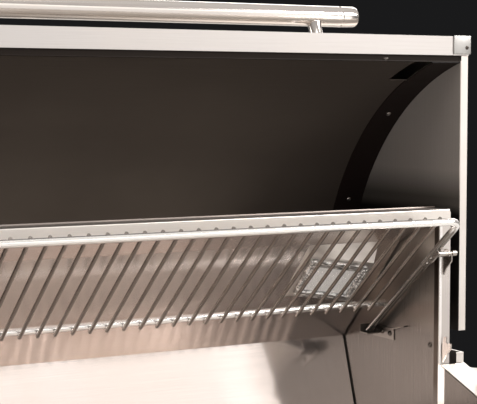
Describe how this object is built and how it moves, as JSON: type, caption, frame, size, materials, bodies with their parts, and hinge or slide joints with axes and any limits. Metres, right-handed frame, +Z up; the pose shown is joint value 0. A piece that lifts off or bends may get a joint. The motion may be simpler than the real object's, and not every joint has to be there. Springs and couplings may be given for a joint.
{
  "type": "pellet smoker grill",
  "caption": "Built-in pellet smoker grill with a roll-up double-wall hood, a hanging tilted wire rack, chamber lights, rod grates and a side pellet hopper.",
  "frame": {"origin": "bottom face of the middle base rail, at the middle of the grill's width; Y = 0 is 10 mm behind the front lip of the rear housing", "axes": "+X to the grill's right as seen from the front, +Y to the back, +Z up"},
  "size_m": [1.1655, 0.5912, 0.7134],
  "materials": {
    "brushed_steel": "vertical brushed, warm grey",
    "satin_steel": "satin, bright edges",
    "polished_steel": "polished stainless",
    "rack_chrome": "plated steel wire",
    "grate_steel": "round rod, satin",
    "liner_coating": "dark matte heat-proof coating",
    "strap_coating": "dark satin heat-proof coating",
    "dark_enamel": "dark heat-proof enamel",
    "clip_aluminium": "plain satin",
    "rivet_aluminium": "plain domed",
    "seal_rubber": "matte silicone bead",
    "lamp_glass": "clear, pressed",
    "bulb_glass": "clear capsule",
    "display_glass": "dark tinted window",
    "black_plastic": "fine grain",
    "knob_metal": "turned satin",
    "button_metal": "polished",
    "needle_paint": "red paint"
  },
  "bodies": {
    "grill": {"chamber_sides": "brushed_steel", "housing_side_covers": "brushed_steel", "housing_roof": "satin_steel", "slanted_back_panel": "brushed_steel", "lower_back_wall": "brushed_steel", "rear_cover": "brushed_steel", "chamber_floor_and_front": "brushed_steel", "body_sides": "brushed_steel", "rim_covers": "satin_steel", "rim_seals": "seal_rubber", "front_fascia": "brushed_steel", "back_panel": "brushed_steel", "base_plate": "brushed_steel", "base_rails": "brushed_steel", "light_housings": "polished_steel", "light_lenses": "lamp_glass", "lamp_bulbs": "bulb_glass", "hood_hinge_pins": "polished_steel", "rack_hooks": "polished_steel", "rack_rear_brackets": "polished_steel", "wall_screws": "polished_steel", "chamber_ledges": "brushed_steel", "drip_tray": "dark_enamel", "heat_diffuser": "dark_enamel", "fire_pot": "dark_enamel", "igniter_rod": "polished_steel", "temperature_probe": "polished_steel", "hopper_walls": "brushed_steel", "hopper_chute": "brushed_steel", "lid_hinge": "polished_steel", "auger_tube": "brushed_steel", "fan_housing": "brushed_steel", "power_inlet": "black_plastic", "control_panel": "black_plastic", "display_window": "display_glass"},
    "hood": {"hood_inner_sides": "brushed_steel", "hood_outer_sides": "satin_steel", "hood_skin": "brushed_steel", "hood_liner": "liner_coating", "liner_straps": "strap_coating", "hood_lip": "satin_steel", "corner_clips": "clip_aluminium", "hood_rear_panel": "brushed_steel", "liner_rivets": "rivet_aluminium", "hood_handle": "polished_steel", "gauge_case": "polished_steel", "gauge_glass": "lamp_glass"},
    "gauge_pointer": {"gauge_needle": "needle_paint"},
    "rack": {"rack_frame": "rack_chrome", "rack_wires": "rack_chrome", "rack_tabs": "polished_steel"},
    "left_grate": {"grate_left": "grate_steel"},
    "middle_grate": {"grate_middle": "grate_steel"},
    "right_grate": {"grate_right": "grate_steel"},
    "drawer": {"grease_drawer": "satin_steel"},
    "lid": {"hopper_lid": "brushed_steel"},
    "knob": {"control_knob": "knob_metal"},
    "button": {"power_button": "button_metal"},
    "auger": {"auger_screw": "brushed_steel"},
    "fan": {"fan_wheel": "black_plastic"}
  },
  "joints": [
    {"name": "hood_hinge", "type": "hinge", "parent": "grill", "child": "hood", "pos_m": [0, 0.022, 0.343], "axis": [1, 0, 0], "range_deg": [0, 110]},
    {"name": "gauge_pointer_turn", "type": "hinge", "parent": "hood", "child": "gauge_pointer", "pos_m": [0, 0.19155, 0.55111], "axis": [0, 0.788, 0.6157], "range_deg": [-135, 135]},
    {"name": "rack_lift_out", "type": "slide", "parent": "grill", "child": "rack", "axis": [0, -0.7749, 0.632], "range_m": [0, 0.06]},
    {"name": "left_grate_lift", "type": "slide", "parent": "grill", "child": "left_grate", "axis": [0, 0, 1], "range_m": [0, 0.02]},
    {"name": "middle_grate_lift", "type": "slide", "parent": "grill", "child": "middle_grate", "axis": [0, 0, 1], "range_m": [0, 0.02]},
    {"name": "right_grate_lift", "type": "slide", "parent": "grill", "child": "right_grate", "axis": [0, 0, 1], "range_m": [0, 0.02]},
    {"name": "drawer_slide", "type": "slide", "parent": "grill", "child": "drawer", "axis": [0, -1, 0], "range_m": [0, 0.2]},
    {"name": "lid_hinge_turn", "type": "hinge", "parent": "grill", "child": "lid", "pos_m": [-0.583, 0.155, 0.4225], "axis": [-1, 0, 0], "range_deg": [0, 100]},
    {"name": "knob_turn", "type": "hinge", "parent": "grill", "child": "knob", "pos_m": [-0.583, -0.24, 0.29], "axis": [0, -1, 0], "continuous": true},
    {"name": "button_press", "type": "slide", "parent": "grill", "child": "button", "axis": [0, 1, 0], "range_m": [0, 0.003], "stiffness_N_per_m": 400},
    {"name": "auger_turn", "type": "hinge", "parent": "grill", "child": "auger", "pos_m": [-0.3, -0.06, 0.084], "axis": [1, 0, 0], "continuous": true},
    {"name": "fan_turn", "type": "hinge", "parent": "grill", "child": "fan", "pos_m": [-0.58, 0.06, 0.084], "axis": [1, 0, 0], "continuous": true}
  ]
}
